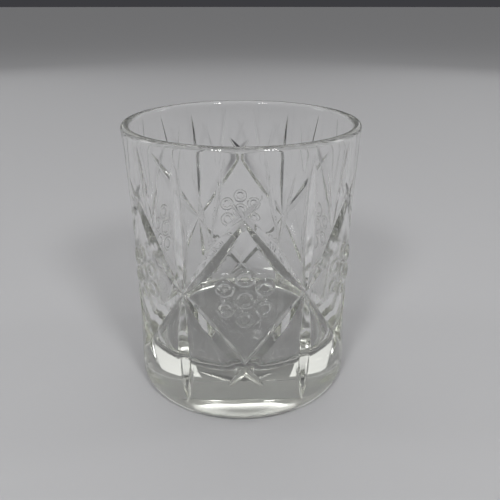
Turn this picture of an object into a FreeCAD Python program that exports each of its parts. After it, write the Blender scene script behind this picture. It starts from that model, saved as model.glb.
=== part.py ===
import FreeCAD, Part
import Sketcher
import math
import os

# Whiskey tumbler: one piece of pressed glass, millimetres, +Z up.
# The origin is the centre of the foot on the table plane.
# The middle of one diamond and its medallion faces -Y.

os.makedirs("parts", exist_ok=True)

V = FreeCAD.Vector
Z_AXIS = V(0, 0, 1)

# ---- driving dimensions -------------------------------------------------------------------------

DIMENSIONS = [
    ("glass_height", 98.0),         # table to the top of the rim
    ("rim_radius", 41.0),           # outside, at the rim
    ("foot_radius", 41.0),          # outside, at the table, before the heel is rounded
    ("waist_arc_radius", 925.0),    # long hollow sweep of the outside wall
    ("rim_thickness", 3.0),
    ("rim_round", 1.4),
    ("floor_height", 17.0),         # thickness of the solid base
    ("floor_radius", 34.4),
    ("floor_corner_round", 7.0),
    ("heel_round", 3.5),
    ("hollow_depth", 0.9),          # shallow cone under the base, so the glass stands on a ring
    ("hollow_radius", 33.0),
    ("blade_height", 6.0),
    ("upper_half_width", 6.6),      # straight mitre cuts above and below the middle
    ("lower_half_width", 7.4),
    ("upright_wheel_radius", 126.0),
    ("upright_wheel_inner", 120.0),
    ("upright_wheel_half", 7.7),
    ("lower_wheel_radius", 111.0),
    ("lower_wheel_inner", 105.0),
    ("lower_wheel_half", 7.7),
    ("leaf_wheel_radius", 190.0),   # slender cuts in pairs, open upward like a V
    ("leaf_wheel_inner", 187.0),
    ("leaf_wheel_half", 4.8),
    ("strand_radius", 0.95),        # half thickness of the raised strands
    ("centre_ring_radius", 2.8),
    ("petal_ring_radius", 2.3),
    ("petal_distance", 7.4),        # centre of the rosette to the centre of each petal ring
    ("repeats", 6),                 # the pattern repeats six times round the glass
]
D = dict(DIMENSIONS)

SEAM_TURN = 12.0                # degrees: keeps the seam of the turned wall out of the grooves

# Heights and directions of the cut pattern.
NODE_HEIGHT = 49.0
NODE_ANGLE = 30.0
UPPER_TIP = (-6.4, 82.4)        # degrees, mm: where the upper diamond cuts run out
LOWER_TIP = (-8.2, 16.1)
UPRIGHT_TOP = 93.5
UPRIGHT_DEPTH = 1.7
LOWER_END = 5.2
LOWER_DEPTH = 1.9
LEAF_FOOT = 69.0                # height where the two arms of a leaf meet
LEAF_ARMS = [                   # angle at the foot, angle and height at the tip, depth
    ("long", 14.7, 8.0, 95.4, 0.45),
    ("short", 15.3, 21.5, 90.0, 0.30),
]
MEDALLION_HEIGHT = 49.6
PETALS = 6
STRAND_SINK = 0.38              # how far the strand centres lie under the wall surface

doc = FreeCAD.newDocument("whiskey_tumbler")
sheet = doc.addObject("Spreadsheet::Sheet", "Dimensions")
for row, (name, value) in enumerate(DIMENSIONS, start=1):
    sheet.set("A%d" % row, name)
    sheet.set("B%d" % row, str(value))
    sheet.setAlias("B%d" % row, name)
doc.recompute()


def bind(obj, prop, alias):
    """Tie one property of an object to a cell of the sheet."""
    obj.setExpression(prop, "Dimensions." + alias)


# ---- surface helpers ----------------------------------------------------------------------------

HALF_HEIGHT = D["glass_height"] / 2
WAIST_SAG = D["waist_arc_radius"] - math.sqrt(D["waist_arc_radius"] ** 2 - HALF_HEIGHT ** 2)


def wall_radius(height):
    """Radius of the outside wall at a height."""
    reach = height - HALF_HEIGHT
    bulge = D["waist_arc_radius"] - math.sqrt(D["waist_arc_radius"] ** 2 - reach ** 2)
    return D["rim_radius"] - WAIST_SAG + bulge


def on_wall(angle, height, lift=0.0):
    """Point on the outside wall, angle in degrees from -Y towards +X."""
    radius = wall_radius(height) + lift
    turn = math.radians(angle)
    return V(radius * math.sin(turn), -radius * math.cos(turn), height)


def outward(angle):
    turn = math.radians(angle)
    return V(math.sin(turn), -math.cos(turn), 0)


def frame_between(start, end):
    """Direction, outward normal and side of a straight run over the wall."""
    run = (end - start).normalize()
    middle = (start + end) * 0.5
    radial = V(middle.x, middle.y, 0).normalize()
    normal = (radial - run * radial.dot(run)).normalize()
    return run, normal, run.cross(normal)


def placed(origin, x_axis, y_axis, z_axis):
    """Placement that carries the local axes to the given directions."""
    matrix = FreeCAD.Matrix(
        x_axis.x, y_axis.x, z_axis.x, origin.x,
        x_axis.y, y_axis.y, z_axis.y, origin.y,
        x_axis.z, y_axis.z, z_axis.z, origin.z,
        0, 0, 0, 1)
    return FreeCAD.Placement(matrix)


# ---- turned blank -------------------------------------------------------------------------------

body = doc.addObject("PartDesign::Body", "tumbler_glass")
body.Label = "tumbler_glass"
ORIGIN = {feature.Role: feature for feature in body.Origin.OriginFeatures}

profile = body.newObject("Sketcher::SketchObject", "wall_profile")
profile.AttachmentSupport = [(ORIGIN["XZ_Plane"], "")]
profile.MapMode = "FlatFace"
profile.AttachmentOffset = FreeCAD.Placement(
    V(0, 0, 0), FreeCAD.Rotation(V(0, 1, 0), SEAM_TURN))

crown = V(0, D["hollow_depth"], 0)
ring_inner = V(D["hollow_radius"], 0, 0)
heel = V(D["foot_radius"], 0, 0)
rim_outer = V(D["rim_radius"], D["glass_height"], 0)
rim_inner = V(D["rim_radius"] - D["rim_thickness"], D["glass_height"], 0)
floor_edge = V(D["floor_radius"], D["floor_height"], 0)
floor_centre = V(0, D["floor_height"], 0)
sweep_centre = V(wall_radius(HALF_HEIGHT) + D["waist_arc_radius"], HALF_HEIGHT, 0)
sweep_half_angle = math.asin(HALF_HEIGHT / D["waist_arc_radius"])
wall_sweep = Part.ArcOfCircle(
    Part.Circle(sweep_centre, Z_AXIS, D["waist_arc_radius"]),
    math.pi - sweep_half_angle, math.pi + sweep_half_angle)

outline = [
    Part.LineSegment(crown, ring_inner),
    Part.LineSegment(ring_inner, heel),
    wall_sweep,
    Part.LineSegment(rim_outer, rim_inner),
    Part.LineSegment(rim_inner, floor_edge),
    Part.LineSegment(floor_edge, floor_centre),
    Part.LineSegment(floor_centre, crown),
]
for segment in outline:
    profile.addGeometry(segment, False)


def coincide(first, first_end, second, second_end):
    return Sketcher.Constraint("Coincident", first, first_end, second, second_end)


def on_axis(geometry, end, axis):
    return Sketcher.Constraint("PointOnObject", geometry, end, axis)


ORIGIN_POINT = (-1, 1)
H_LINE, V_LINE = -1, -2
START, END = 1, 2
CROWN_LINE, RING_LINE, WALL_ARC, RIM_LINE, BORE_LINE, FLOOR_LINE, AXIS_LINE = range(7)

ARC_HIGH, ARC_LOW = START, END

for constraint in (
    coincide(CROWN_LINE, END, RING_LINE, START),
    coincide(RING_LINE, END, WALL_ARC, ARC_LOW),
    coincide(WALL_ARC, ARC_HIGH, RIM_LINE, START),
    coincide(RIM_LINE, END, BORE_LINE, START),
    coincide(BORE_LINE, END, FLOOR_LINE, START),
    coincide(FLOOR_LINE, END, AXIS_LINE, START),
    coincide(AXIS_LINE, END, CROWN_LINE, START),
    on_axis(CROWN_LINE, START, V_LINE),
    on_axis(FLOOR_LINE, END, V_LINE),
    on_axis(RING_LINE, START, H_LINE),
    on_axis(RING_LINE, END, H_LINE),
    Sketcher.Constraint("Horizontal", RIM_LINE),
    Sketcher.Constraint("Horizontal", FLOOR_LINE),
):
    profile.addConstraint(constraint)


def dimension(kind, geometry, end, alias):
    """Distance from the sketch origin, tied to the sheet."""
    index = profile.addConstraint(
        Sketcher.Constraint(kind, *ORIGIN_POINT, geometry, end, D[alias]))
    profile.renameConstraint(index, alias)
    profile.setExpression("Constraints." + alias, "Dimensions." + alias)


dimension("DistanceY", CROWN_LINE, START, "hollow_depth")
dimension("DistanceX", RING_LINE, START, "hollow_radius")
dimension("DistanceX", RING_LINE, END, "foot_radius")
dimension("DistanceX", RIM_LINE, START, "rim_radius")
dimension("DistanceY", RIM_LINE, START, "glass_height")
dimension("DistanceX", BORE_LINE, END, "floor_radius")
dimension("DistanceY", BORE_LINE, END, "floor_height")
rim_index = profile.addConstraint(
    Sketcher.Constraint("DistanceX", RIM_LINE, END, RIM_LINE, START, D["rim_thickness"]))
profile.renameConstraint(rim_index, "rim_thickness")
profile.setExpression("Constraints.rim_thickness", "Dimensions.rim_thickness")
arc_index = profile.addConstraint(
    Sketcher.Constraint("Radius", WALL_ARC, D["waist_arc_radius"]))
profile.renameConstraint(arc_index, "waist_arc_radius")
profile.setExpression("Constraints.waist_arc_radius", "Dimensions.waist_arc_radius")
doc.recompute()

blank = body.newObject("PartDesign::Revolution", "turned_blank")
blank.Profile = profile
blank.ReferenceAxis = (profile, ["V_Axis"])
blank.Angle = 360
profile.Visibility = False
doc.recompute()


def circles(feature, radius, height):
    """Names of the full-turn edges at a radius and height."""
    names = []
    for number, edge in enumerate(feature.Shape.Edges, start=1):
        if not isinstance(edge.Curve, Part.Circle):
            continue
        same_height = abs(edge.Curve.Center.z - height) < 0.01
        if same_height and abs(edge.Curve.Radius - radius) < 0.01:
            names.append("Edge%d" % number)
    return names


def rounded(name, feature, spots, alias):
    """Fillet the circular edges at the given (radius, height) spots."""
    edges = [edge for radius, height in spots for edge in circles(feature, radius, height)]
    fillet = body.newObject("PartDesign::Fillet", name)
    fillet.Base = (feature, edges)
    bind(fillet, "Radius", alias)
    doc.recompute()
    return fillet


HEIGHT = D["glass_height"]
RIM_INNER_RADIUS = D["rim_radius"] - D["rim_thickness"]
with_heel = rounded("heel_rounding", blank, [(D["foot_radius"], 0)], "heel_round")
with_corner = rounded(
    "floor_rounding", with_heel, [(D["floor_radius"], D["floor_height"])], "floor_corner_round")
with_rim = rounded(
    "rim_rounding", with_corner,
    [(D["rim_radius"], HEIGHT), (RIM_INNER_RADIUS, HEIGHT)], "rim_round")

# ---- cut pattern: one sixth of the turn ---------------------------------------------------------


def attached(kind, name, placement):
    """Body feature held on the table plane with an offset."""
    feature = body.newObject(kind, name)
    feature.AttachmentSupport = [(ORIGIN["XY_Plane"], "")]
    feature.MapMode = "FlatFace"
    feature.AttachmentOffset = placement
    return feature


LEAST_CHANGE = 1.0              # mm3, less than any one cut or ring takes or adds
MOST_CHANGE = 6000.0            # mm3, more than any of them does


def repeated(feature):
    """The given feature six times round the glass; the glass must stay one solid."""
    before = body.Shape.Volume
    pattern = body.newObject("PartDesign::PolarPattern", feature.Label + "_repeat")
    pattern.Originals = [feature]
    pattern.Axis = (ORIGIN["Z_Axis"], [""])
    pattern.Angle = 360
    bind(pattern, "Occurrences", "repeats")
    body.Tip = pattern
    doc.recompute()
    result = pattern.Shape
    change = result.Volume - before
    if "Subtractive" in feature.TypeId:
        change = -change
    if len(result.Solids) != 1 or not LEAST_CHANGE < change < MOST_CHANGE:
        raise RuntimeError("wrong result at " + feature.Label)


BLADE_OVERRUN = 3.0


def straight_cut(name, start, end, sink, row):
    """Mitre cut along a straight chord; the round wall gives it its long pointed outline."""
    run, normal, side = frame_between(start, end)
    base = start - run * BLADE_OVERRUN + normal * (D["blade_height"] - sink)
    blade = attached(
        "PartDesign::SubtractiveWedge", name, placed(base, side, normal * -1, run))
    length = (end - start).Length + 2 * BLADE_OVERRUN
    blade.Ymin = blade.Zmin = blade.Z2min = 0
    blade.X2min = blade.X2max = 0
    blade.Xmin = -D[row + "_half_width"]
    blade.setExpression("Xmin", "-Dimensions.%s_half_width" % row)
    bind(blade, "Xmax", row + "_half_width")
    bind(blade, "Ymax", "blade_height")
    blade.Zmax = blade.Z2max = length
    repeated(blade)


def wheel_cut(name, start, end, depth, wheel):
    """Cut of a wheel with a mitred edge, made as its two bevelled halves."""
    run, normal, side = frame_between(start, end)
    middle_height = (start.z + end.z) / 2
    angle = math.degrees(math.atan2(start.x + end.x, -(start.y + end.y)))
    deepest = on_wall(angle, middle_height, -depth)
    hub = deepest + normal * D[wheel + "_wheel_radius"]
    for label, axis in (("a", side), ("b", side * -1)):
        half = attached(
            "PartDesign::SubtractiveCone", name + "_" + label,
            placed(hub, run, axis.cross(run), axis))
        bind(half, "Radius1", wheel + "_wheel_radius")
        bind(half, "Radius2", wheel + "_wheel_inner")
        bind(half, "Height", wheel + "_wheel_half")
        repeated(half)


for label, hand, sink in (("east", 1, 0.05), ("west", -1, 0.14)):
    node = on_wall(hand * NODE_ANGLE, NODE_HEIGHT)
    upper_tip = on_wall(hand * UPPER_TIP[0], UPPER_TIP[1])
    lower_tip = on_wall(hand * LOWER_TIP[0], LOWER_TIP[1])
    straight_cut("diamond_upper_" + label, node, upper_tip, sink, "upper")
    straight_cut("diamond_lower_" + label, node, lower_tip, sink + 0.05, "lower")

node = on_wall(NODE_ANGLE, NODE_HEIGHT)
wheel_cut(
    "upright", node, on_wall(NODE_ANGLE, UPRIGHT_TOP), UPRIGHT_DEPTH, "upright")
wheel_cut(
    "lower_upright", on_wall(NODE_ANGLE, LOWER_END), node, LOWER_DEPTH, "lower")
for label, hand in (("east", 1), ("west", -1)):
    for arm, foot_angle, tip_angle, tip_height, depth in LEAF_ARMS:
        foot = on_wall(hand * foot_angle, LEAF_FOOT)
        tip = on_wall(hand * tip_angle, tip_height)
        wheel_cut("leaf_%s_%s" % (arm, label), foot, tip, depth, "leaf")

# ---- relief medallion: rings of round strand laid on the wall ------------------------------------


def ring_strand(name, across, up, radius_alias, sink):
    """One ring of strand, lying flat on the wall at its own place."""
    height = MEDALLION_HEIGHT + up
    angle = math.degrees(across / wall_radius(height))
    radial = outward(angle)
    side = V(-radial.y, radial.x, 0)
    ring = attached(
        "PartDesign::AdditiveTorus", name,
        placed(on_wall(angle, height, -sink), side, radial.cross(side), radial))
    bind(ring, "Radius1", radius_alias)
    bind(ring, "Radius2", "strand_radius")
    repeated(ring)


ring_strand("rosette_centre", 0, 0, "centre_ring_radius", STRAND_SINK)
for number in range(PETALS):
    turn = 2 * math.pi * number / PETALS
    across = D["petal_distance"] * math.sin(turn)
    up = D["petal_distance"] * math.cos(turn)
    ring_strand("rosette_petal_%d" % (number + 1), across, up, "petal_ring_radius", STRAND_SINK)

# ---- check and write ----------------------------------------------------------------------------

for obj in doc.Objects:
    if "Invalid" in obj.State or "Error" in obj.State:
        raise RuntimeError("bad object: " + obj.Label)

glass = body.Shape
if not glass.isValid() or len(glass.Solids) != 1:
    raise RuntimeError("tumbler_glass is not one valid solid")
print("volume cm3", round(glass.Volume / 1000, 1), "faces", len(glass.Faces))
glass.exportStep("parts/tumbler_glass.step")
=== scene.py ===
"""Whiskey tumbler: one piece of clear pressed glass on a pale studio floor.

Lengths in the design part are millimetres, as on a glassworks drawing, and MM turns them into metres.
The glass stands on z = 0 with its axis on Z; the middle of one diamond faces -Y.
"""

import math

import bmesh
import bpy
from mathutils import Matrix, Vector


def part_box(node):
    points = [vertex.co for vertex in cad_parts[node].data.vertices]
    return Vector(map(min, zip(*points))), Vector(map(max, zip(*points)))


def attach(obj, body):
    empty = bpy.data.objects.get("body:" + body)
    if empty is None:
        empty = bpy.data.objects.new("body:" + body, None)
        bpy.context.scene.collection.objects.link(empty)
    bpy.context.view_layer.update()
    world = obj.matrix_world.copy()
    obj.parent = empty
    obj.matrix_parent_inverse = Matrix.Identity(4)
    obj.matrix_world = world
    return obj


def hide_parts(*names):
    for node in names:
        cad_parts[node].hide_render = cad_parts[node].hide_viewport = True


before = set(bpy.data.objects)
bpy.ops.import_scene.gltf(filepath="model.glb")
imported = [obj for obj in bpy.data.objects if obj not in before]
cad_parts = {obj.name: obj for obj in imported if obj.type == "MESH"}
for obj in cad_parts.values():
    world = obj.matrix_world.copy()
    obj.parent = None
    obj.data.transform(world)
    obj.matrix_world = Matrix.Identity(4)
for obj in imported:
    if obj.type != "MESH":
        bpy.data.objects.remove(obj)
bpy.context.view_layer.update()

MM = 0.001
NODE = "tumbler_glass"

# ---- sizes of the glass, mm --------------------------------------------------------------------

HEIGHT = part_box(NODE)[1][2] / MM    # top of the CAD solid, which stands on z = 0
RIM_RADIUS = 41.0
FOOT_RADIUS = 41.0
WAIST_ARC_RADIUS = 925.0
RIM_THICKNESS = 3.0
RIM_ROUND = 1.4
FLOOR_HEIGHT = 17.0
FLOOR_RADIUS = 34.4
FLOOR_ROUND = 7.0
HEEL_ROUND = 3.5
HOLLOW_DEPTH = 0.9
HOLLOW_RADIUS = 33.0
TURN_STEPS = 720
SHARP_ANGLE = math.radians(28.0)    # edges that turn more than this stay crisp

# ---- how finely the profile is divided ---------------------------------------------------------

WALL_START = 5.0                    # heights between which the wall's points lie
WALL_END = HEIGHT - 3.0
WALL_STEPS = 44
ROUND_STEPS = 10
FLOOR_ROUND_STEPS = 14
HOLLOW_STEPS = 5
RING_STEPS = 2
INSIDE_STEPS = 24
FLOOR_STEPS = 8

# ---- cut pattern -------------------------------------------------------------------------------

REPEATS = 6
NODE_HEIGHT = 49.0
NODE_ANGLE = 30.0
UPPER_TIP = (-6.4, 82.4)
LOWER_TIP = (-8.2, 16.1)
UPRIGHT_TOP = 93.5
UPRIGHT_DEPTH = 1.7
LOWER_END = 5.2
LOWER_DEPTH = 1.9
LEAF_FOOT = 69.0                    # height where the two arms of a leaf meet
LEAF_ARMS = [                       # angle at the foot, angle and height at the tip, depth
    (14.7, 8.0, 95.4, 0.45),
    (15.3, 21.5, 90.0, 0.30),
]
UPPER_MITRE = math.atan2(6.6, 6.0)  # half angles of the cuts
LOWER_MITRE = math.atan2(7.4, 6.0)
UPRIGHT_MITRE = math.radians(52.0)
LEAF_MITRE = math.atan2(4.8, 3.0)
BEVEL_MITRE = math.radians(70.0)    # wide second bevel, which gives the cuts parallel lines
DIAMOND_BEVEL_LIFT = 0.9            # how far its valley lies above the valley of the cut
UPRIGHT_BEVEL_LIFT = 0.6
VALLEY_ROUND = 0.22
VALLEY_STEPS = 6
CUT_SINKS = ((1, 0.05), (-1, 0.14))     # side of the diamond and how far its cuts are sunk
LOWER_EXTRA_SINK = 0.05
DIAMOND_CUTTER = 6.0                # heights of the cutters above their edges
UPRIGHT_CUTTER = 5.0
LEAF_CUTTER = 3.0
BEVEL_CUTTER = 3.0
STRAIGHT_STEPS = 2                  # parts along a cutter
UPRIGHT_STEPS = 48
LEAF_STEPS = 40
OVERRUN = 1.12                      # a cutter reaches this many half lengths from its middle

# ---- relief medallion --------------------------------------------------------------------------

MEDALLION_HEIGHT = 49.6
STRAND_RADIUS = 0.95
STRAND_SINK = 0.38                  # how far the strand centres lie under the wall surface
CENTRE_RING = 2.8
PETAL_RING = 2.3
PETAL_DISTANCE = 7.4                # centre of the rosette to the centre of each petal ring
PETALS = 6
STRAND_STEPS = 72
STRAND_SIDES = 12

# ---- the outside wall --------------------------------------------------------------------------

HALF_HEIGHT = HEIGHT / 2


def sweep(height):
    """Drop of the long wall arc from its deepest point."""
    reach = height - HALF_HEIGHT
    return WAIST_ARC_RADIUS - math.sqrt(WAIST_ARC_RADIUS ** 2 - reach ** 2)


def wall_radius(height):
    return RIM_RADIUS - sweep(HEIGHT) + sweep(height)


def on_wall(angle, height, lift=0.0):
    """Point on the outside wall, angle in degrees from -Y towards +X."""
    radius = wall_radius(height) + lift
    turn = math.radians(angle)
    return Vector((radius * math.sin(turn), -radius * math.cos(turn), height))


# ---- mesh helpers ------------------------------------------------------------------------------


def mesh_object(name, verts, faces):
    mesh = bpy.data.meshes.new(name)
    mesh.from_pydata([tuple(v) for v in verts], [], faces)
    bm = bmesh.new()
    bm.from_mesh(mesh)
    bmesh.ops.recalc_face_normals(bm, faces=bm.faces)
    bm.to_mesh(mesh)
    bm.free()
    obj = bpy.data.objects.new(name, mesh)
    bpy.context.scene.collection.objects.link(obj)
    return obj


def corner(before, at, after, radius, steps):
    """Points of a round of the given radius in a corner of a profile."""
    a = (before - at).normalized()
    b = (after - at).normalized()
    half = a.angle(b) / 2
    reach = radius / math.tan(half)
    centre = at + (a + b).normalized() * (radius / math.sin(half))
    start = at + a * reach - centre
    end = at + b * reach - centre
    sweep_angle = start.angle_signed(end)
    return [centre + Matrix.Rotation(-sweep_angle * i / steps, 2) @ start for i in range(steps + 1)]


def straight(start, end, steps):
    """Points between two profile points, both left out."""
    return [start.lerp(end, i / steps) for i in range(1, steps)]


def glass_profile():
    """Half section of the glass from the middle of the foot to the middle of the floor."""
    crown = Vector((0, HOLLOW_DEPTH))
    ring = Vector((HOLLOW_RADIUS, 0))
    heel = Vector((FOOT_RADIUS, 0))
    wall = [Vector((wall_radius(z), z))
            for z in (WALL_START + i * (WALL_END - WALL_START) / WALL_STEPS
                      for i in range(WALL_STEPS + 1))]
    rim_out = Vector((RIM_RADIUS, HEIGHT))
    rim_in = Vector((RIM_RADIUS - RIM_THICKNESS, HEIGHT))
    floor_edge = Vector((FLOOR_RADIUS, FLOOR_HEIGHT))
    floor_mid = Vector((0, FLOOR_HEIGHT))
    heel_arc = corner(ring, heel, wall[0], HEEL_ROUND, ROUND_STEPS)
    rim_arcs = (corner(wall[-1], rim_out, rim_in, RIM_ROUND, ROUND_STEPS)
                + corner(rim_out, rim_in, floor_edge, RIM_ROUND, ROUND_STEPS))
    floor_arc = corner(rim_in, floor_edge, floor_mid, FLOOR_ROUND, FLOOR_ROUND_STEPS)
    return (straight(crown, ring, HOLLOW_STEPS) + [ring]
            + straight(ring, heel_arc[0], RING_STEPS) + heel_arc + wall + rim_arcs
            + straight(rim_arcs[-1], floor_arc[0], INSIDE_STEPS) + floor_arc
            + straight(floor_arc[-1], floor_mid, FLOOR_STEPS))


def turned(name, profile, low_centre, high_centre):
    """Closed turned body; the profile runs from near the low centre to near the high one."""
    verts = []
    for i in range(TURN_STEPS):
        turn = 2 * math.pi * i / TURN_STEPS
        verts += [Vector((p.x * math.sin(turn), -p.x * math.cos(turn), p.y)) for p in profile]
    count = len(profile)
    low = len(verts)
    verts += [Vector((0, 0, low_centre)), Vector((0, 0, high_centre))]
    faces = []
    for i in range(TURN_STEPS):
        here = i * count
        there = (i + 1) % TURN_STEPS * count
        faces += [(here + k, there + k, there + k + 1, here + k + 1) for k in range(count - 1)]
        faces.append((low, there, here))
        faces.append((low + 1, here + count - 1, there + count - 1))
    return mesh_object(name, verts, faces)


# ---- cutters and strands -----------------------------------------------------------------------


def mitre_section(half_angle, height):
    """Outline of a mitred edge with a slightly rounded tip at (0, 0)."""
    rise = VALLEY_ROUND / math.sin(half_angle) - VALLEY_ROUND
    middle = Vector((0, VALLEY_ROUND))
    spread = math.pi / 2 - half_angle
    tip = []
    for i in range(VALLEY_STEPS + 1):
        turn = -spread + 2 * spread * i / VALLEY_STEPS
        tip.append(middle + VALLEY_ROUND * Vector((math.sin(turn), -math.cos(turn))))
    side = (height + rise) * math.tan(half_angle)
    return [Vector((-side, height))] + tip + [Vector((side, height))]


def blade(start, end, depth, half_angle, height, steps):
    """Verts and faces of a cutter from start to end, whose edge dips by depth in the middle."""
    run = (end - start).normalized()
    middle = (start + end) / 2
    radial = Vector((middle.x, middle.y, 0)).normalized()
    normal = (radial - run * radial.dot(run)).normalized()
    side = run.cross(normal)
    half = (end - start).length / 2
    section = mitre_section(half_angle, height)
    verts = []
    for i in range(steps + 1):
        along = (-1 + 2 * i / steps) * OVERRUN
        dip = depth * (1 - along * along)
        base = middle + run * (half * along) - normal * dip
        verts += [base + side * p.x + normal * p.y for p in section]
    count = len(section)
    faces = []
    for i in range(steps):
        for k in range(count):
            m = (k + 1) % count
            faces.append((i * count + k, i * count + m, (i + 1) * count + m, (i + 1) * count + k))
    faces.append(tuple(range(count)))
    faces.append(tuple(steps * count + k for k in range(count)))
    return verts, faces


def strand(across, up, ring):
    """Verts and faces of a ring of round strand laid on the wall."""
    verts = []
    for i in range(STRAND_STEPS):
        turn = 2 * math.pi * i / STRAND_STEPS
        for k in range(STRAND_SIDES):
            roll = 2 * math.pi * k / STRAND_SIDES
            reach = ring + STRAND_RADIUS * math.cos(roll)
            height = MEDALLION_HEIGHT + up + reach * math.sin(turn)
            x = across + reach * math.cos(turn)
            angle = math.degrees(x / wall_radius(height))
            verts.append(on_wall(angle, height, STRAND_RADIUS * math.sin(roll) - STRAND_SINK))
    faces = []
    for i in range(STRAND_STEPS):
        for k in range(STRAND_SIDES):
            a, b = i * STRAND_SIDES, (i + 1) % STRAND_STEPS * STRAND_SIDES
            m = (k + 1) % STRAND_SIDES
            faces.append((a + k, a + m, b + m, b + k))
    return verts, faces


def around(name, verts, faces):
    """All repeats round the axis as one mesh."""
    all_verts, all_faces = [], []
    for i in range(REPEATS):
        turn = Matrix.Rotation(2 * math.pi * i / REPEATS, 3, "Z")
        first = len(all_verts)
        all_verts += [turn @ v for v in verts]
        all_faces += [tuple(first + k for k in face) for face in faces]
    return mesh_object(name, all_verts, all_faces)


def combine(target, tool, operation):
    """Boolean of target and tool, applied to the target's mesh; the tool is removed."""
    modifier = target.modifiers.new("combine", "BOOLEAN")
    modifier.solver = "MANIFOLD"
    modifier.operation = operation
    modifier.object = tool
    depsgraph = bpy.context.evaluated_depsgraph_get()
    result = bpy.data.meshes.new_from_object(target.evaluated_get(depsgraph))
    target.modifiers.clear()
    old = target.data
    target.data = result
    bpy.data.meshes.remove(old)
    bpy.data.objects.remove(tool)


def chord_sag(start, end):
    """How far the waisted wall lies under the middle of a chord between two of its points.

    It is negative where the chord passes under the wall.
    """
    middle = (start + end) / 2
    return Vector((middle.x, middle.y)).length - wall_radius(middle.z)


def cut_list():
    """Every cutter of one sixth of the turn."""
    cutters = []
    for hand, sink in CUT_SINKS:
        node = on_wall(hand * NODE_ANGLE, NODE_HEIGHT)
        for tip, mitre, extra in ((UPPER_TIP, UPPER_MITRE, 0.0),
                                  (LOWER_TIP, LOWER_MITRE, LOWER_EXTRA_SINK)):
            end = on_wall(hand * tip[0], tip[1])
            radial = Vector((node.x + end.x, node.y + end.y, 0)).normalized()
            inward = radial * (sink + extra)
            cutters.append(blade(node - inward, end - inward, 0.0, mitre,
                                 DIAMOND_CUTTER, STRAIGHT_STEPS))
            outward = radial * DIAMOND_BEVEL_LIFT - inward
            cutters.append(blade(node + outward, end + outward, 0.0, BEVEL_MITRE,
                                 BEVEL_CUTTER, STRAIGHT_STEPS))
    upright = (on_wall(NODE_ANGLE, NODE_HEIGHT), on_wall(NODE_ANGLE, UPRIGHT_TOP))
    lower = (on_wall(NODE_ANGLE, LOWER_END), on_wall(NODE_ANGLE, NODE_HEIGHT))
    for run, depth in ((upright, UPRIGHT_DEPTH), (lower, LOWER_DEPTH)):
        dip = depth + chord_sag(*run)
        cutters.append(blade(*run, dip, UPRIGHT_MITRE, UPRIGHT_CUTTER, UPRIGHT_STEPS))
        cutters.append(blade(*run, dip - UPRIGHT_BEVEL_LIFT, BEVEL_MITRE, BEVEL_CUTTER, UPRIGHT_STEPS))
    for hand in (1, -1):
        for foot_angle, tip_angle, tip_height, depth in LEAF_ARMS:
            arm = (on_wall(hand * foot_angle, LEAF_FOOT), on_wall(hand * tip_angle, tip_height))
            cutters.append(blade(*arm, depth + chord_sag(*arm), LEAF_MITRE,
                                 LEAF_CUTTER, LEAF_STEPS))
    return cutters


def strand_list():
    """The rosette: a centre ring with petal rings round it, none of them crossing."""
    strands = [strand(0, 0, CENTRE_RING)]
    for number in range(PETALS):
        turn = 2 * math.pi * number / PETALS
        across, up = PETAL_DISTANCE * math.sin(turn), PETAL_DISTANCE * math.cos(turn)
        strands.append(strand(across, up, PETAL_RING))
    return strands


def build_glass():
    glass = turned("clear_tumbler", glass_profile(), HOLLOW_DEPTH, FLOOR_HEIGHT)
    for verts, faces in cut_list():
        combine(glass, around("cutter", verts, faces), "DIFFERENCE")
    for verts, faces in strand_list():
        combine(glass, around("strand", verts, faces), "UNION")
    mesh = glass.data
    mesh.transform(Matrix.Scale(MM, 4))
    mesh.shade_smooth()
    mesh.set_sharp_from_angle(angle=SHARP_ANGLE)
    return glass


glass = build_glass()
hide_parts(NODE)
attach(glass, "root")


# ---- clear glass -------------------------------------------------------------------------------


GLASS_IOR = 1.52
BODY_COLOUR = (0.90, 0.93, 0.78, 1.0)
BODY_DENSITY = 5.0
SMEAR_NOISE = {"Scale": 38.0, "Detail": 5.0, "Roughness": 0.62}
SMEAR_RANGE = (0.48, 0.80)          # noise between these two values turns into roughness
SMEAR_ROUGHNESS = 0.07
SCUFF_ROUGHNESS = 0.16
SCUFF_HEIGHT = 0.12 * MM
WAVE_NOISE = {"Scale": 55.0, "Detail": 1.5, "Roughness": 0.4}
WAVE_STRENGTH = 0.35
WAVE_DEPTH = 0.25 * MM
EDGE_SAMPLES = 6
EDGE_SOFTNESS = 0.45 * MM


def node_of(tree, kind, **inputs):
    node = tree.nodes.new(kind)
    for name, value in inputs.items():
        node.inputs[name.replace("_", " ")].default_value = value
    return node


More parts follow.
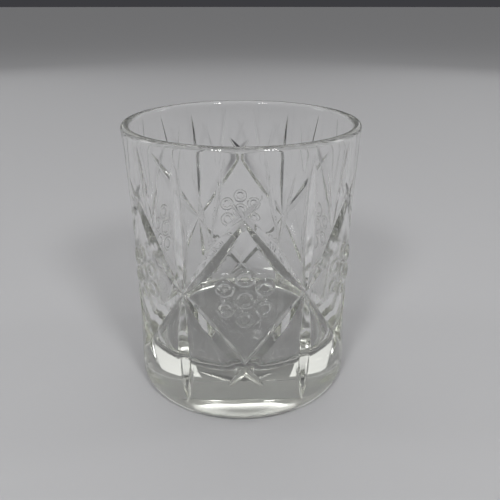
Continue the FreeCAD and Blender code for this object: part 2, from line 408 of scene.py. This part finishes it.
def clear_glass():
    material = bpy.data.materials.new("clear_glass")
    material.use_nodes = True
    tree = material.node_tree
    tree.nodes.clear()
    link = tree.links.new
    output = tree.nodes.new("ShaderNodeOutputMaterial")
    shader = node_of(tree, "ShaderNodeBsdfPrincipled", IOR=GLASS_IOR, Roughness=0.0)
    shader.inputs["Transmission Weight"].default_value = 1.0
    shader.inputs["Base Color"].default_value = (1.0, 1.0, 1.0, 1.0)
    link(shader.outputs["BSDF"], output.inputs["Surface"])

    tint = tree.nodes.new("ShaderNodeVolumeAbsorption")
    tint.inputs["Color"].default_value = BODY_COLOUR
    tint.inputs["Density"].default_value = BODY_DENSITY
    link(tint.outputs["Volume"], output.inputs["Volume"])

    place = tree.nodes.new("ShaderNodeTexCoord")

    # Handling smears and faint scuffs: a little roughness that comes and goes.
    smear = node_of(tree, "ShaderNodeTexNoise", **SMEAR_NOISE)
    link(place.outputs["Object"], smear.inputs["Vector"])
    smear_range = tree.nodes.new("ShaderNodeMapRange")
    smear_range.inputs["From Min"].default_value = SMEAR_RANGE[0]
    smear_range.inputs["From Max"].default_value = SMEAR_RANGE[1]
    smear_range.inputs["To Min"].default_value = 0.0
    smear_range.inputs["To Max"].default_value = SMEAR_ROUGHNESS
    link(smear.outputs["Fac"], smear_range.inputs["Value"])

    # The ring it stands on is scuffed by tables and trays.
    split = tree.nodes.new("ShaderNodeSeparateXYZ")
    link(place.outputs["Object"], split.inputs["Vector"])
    foot_range = tree.nodes.new("ShaderNodeMapRange")
    foot_range.inputs["From Min"].default_value = 0.0
    foot_range.inputs["From Max"].default_value = SCUFF_HEIGHT
    foot_range.inputs["To Min"].default_value = SCUFF_ROUGHNESS
    foot_range.inputs["To Max"].default_value = 0.0
    link(split.outputs["Z"], foot_range.inputs["Value"])
    roughness = tree.nodes.new("ShaderNodeMath")
    roughness.operation = "MAXIMUM"
    link(smear_range.outputs["Result"], roughness.inputs[0])
    link(foot_range.outputs["Result"], roughness.inputs[1])
    link(roughness.outputs["Value"], shader.inputs["Roughness"])

    # Pressed glass is never quite true: long soft waves, and fire-polished edges.
    wave = node_of(tree, "ShaderNodeTexNoise", **WAVE_NOISE)
    link(place.outputs["Object"], wave.inputs["Vector"])
    edge = tree.nodes.new("ShaderNodeBevel")
    edge.samples = EDGE_SAMPLES
    edge.inputs["Radius"].default_value = EDGE_SOFTNESS
    bump = node_of(tree, "ShaderNodeBump", Strength=WAVE_STRENGTH)
    bump.inputs["Distance"].default_value = WAVE_DEPTH
    link(wave.outputs["Fac"], bump.inputs["Height"])
    link(edge.outputs["Normal"], bump.inputs["Normal"])
    link(bump.outputs["Normal"], shader.inputs["Normal"])
    return material


glass.data.materials.clear()
glass.data.materials.append(clear_glass())

# ---- stage: pale floor and soft light ----------------------------------------------------------

FLOOR_REACH = 40.0
FLOOR_DROP = 0.1 * MM       # the floor lies just under the foot, so the two surfaces never coincide
FLOOR_SIDES = 96
FLOOR_COLOUR = (0.60, 0.60, 0.61, 1.0)
FLOOR_ROUGHNESS = 0.8
LAMP_AIM = Vector((0.0, 0.0, 0.05))
LAMPS = (                   # name, azimuth, distance, height, width and height of the box, power
    ("window_left", -26, 0.95, 0.80, 0.20, 0.24, 4.0),
    ("window_right", 28, 0.95, 0.80, 0.20, 0.24, 4.0),
    ("back_left", -148, 1.05, 0.50, 0.50, 0.60, 0.6),
    ("back_right", 148, 1.05, 0.50, 0.50, 0.60, 0.6),
    ("back_top", 180, 0.90, 1.00, 0.80, 0.14, 1.0),
)
SIDE_LAMPS = (              # these light the flanks but are not seen through the glass
    ("side_left", -98, 0.9, 0.35, 0.20, 0.50, 0.9),
    ("side_right", 98, 0.9, 0.35, 0.20, 0.50, 0.9),
)
LOW_SKY = (0.25, (0.045, 0.045, 0.05, 1.0))     # place on the sky's ramp and colour there
HIGH_SKY = (0.95, (0.40, 0.40, 0.40, 1.0))


def pale_floor():
    """Large round pale floor."""
    verts = [Vector((FLOOR_REACH * math.cos(t), FLOOR_REACH * math.sin(t), -FLOOR_DROP))
             for t in (2 * math.pi * i / FLOOR_SIDES for i in range(FLOOR_SIDES))]
    floor = mesh_object("studio_floor", verts, [tuple(range(FLOOR_SIDES))])
    material = bpy.data.materials.new("pale_floor")
    material.use_nodes = True
    shader = material.node_tree.nodes["Principled BSDF"]
    shader.inputs["Base Color"].default_value = FLOOR_COLOUR
    shader.inputs["Roughness"].default_value = FLOOR_ROUGHNESS
    floor.data.materials.append(material)


def soft_box(name, azimuth, distance, height, box_width, box_height, power):
    """Soft box aimed at the glass; azimuth in degrees from the front (-Y) towards the right."""
    light = bpy.data.lights.new(name, "AREA")
    light.shape = "RECTANGLE"
    light.size = box_width
    light.size_y = box_height
    light.energy = power
    turn = math.radians(azimuth)
    place = Vector((distance * math.sin(turn), -distance * math.cos(turn), height))
    lamp = bpy.data.objects.new(name, light)
    lamp.location = place
    lamp.rotation_euler = (LAMP_AIM - place).to_track_quat("-Z", "Y").to_euler()
    lamp.visible_camera = False
    bpy.context.scene.collection.objects.link(lamp)
    return lamp


def studio_world():
    """Soft light from above that fades to a dim grey at the horizon."""
    world = bpy.data.worlds.new("studio")
    world.use_nodes = True
    tree = world.node_tree
    background = tree.nodes["Background"]
    place = tree.nodes.new("ShaderNodeTexCoord")
    split = tree.nodes.new("ShaderNodeSeparateXYZ")
    ramp = tree.nodes.new("ShaderNodeValToRGB")
    for element, (position, colour) in zip(ramp.color_ramp.elements, (LOW_SKY, HIGH_SKY)):
        element.position = position
        element.color = colour
    ramp.color_ramp.interpolation = "EASE"
    tree.links.new(place.outputs["Generated"], split.inputs["Vector"])
    tree.links.new(split.outputs["Z"], ramp.inputs["Fac"])
    tree.links.new(ramp.outputs["Color"], background.inputs["Color"])
    return world


pale_floor()
for lamp_values in LAMPS:
    soft_box(*lamp_values)
for lamp_values in SIDE_LAMPS:
    soft_box(*lamp_values).visible_transmission = False
bpy.context.scene.world = studio_world()
bpy.context.scene.view_settings.view_transform = "Standard"

# ---- camera ------------------------------------------------------------------------------------

CAMERA_DISTANCE = 184.6 * MM
CAMERA_HEIGHT = 133.65 * MM
CAMERA_ORBIT = math.radians(-1.08)      # the front diamond is turned slightly to the right
CAMERA_TILT = math.radians(24.8)
CAMERA_HEADING = math.radians(2.0)
SENSOR = 36.0
LENS = 38.2
CLIP_START = 10 * MM
LIGHT_BOUNCES = 32
GLOSSY_BOUNCES = 16

camera_data = bpy.data.cameras.new("camera")
camera_data.sensor_width = SENSOR
camera_data.lens = LENS
camera_data.clip_start = CLIP_START
camera = bpy.data.objects.new("camera", camera_data)
camera.location = (CAMERA_DISTANCE * math.sin(CAMERA_ORBIT),
                   -CAMERA_DISTANCE * math.cos(CAMERA_ORBIT), CAMERA_HEIGHT)
camera.rotation_euler = (math.pi / 2 - CAMERA_TILT, 0.0, -CAMERA_HEADING)
bpy.context.scene.collection.objects.link(camera)
bpy.context.scene.camera = camera

cycles = bpy.context.scene.cycles
cycles.max_bounces = LIGHT_BOUNCES
cycles.transmission_bounces = LIGHT_BOUNCES
cycles.glossy_bounces = GLOSSY_BOUNCES
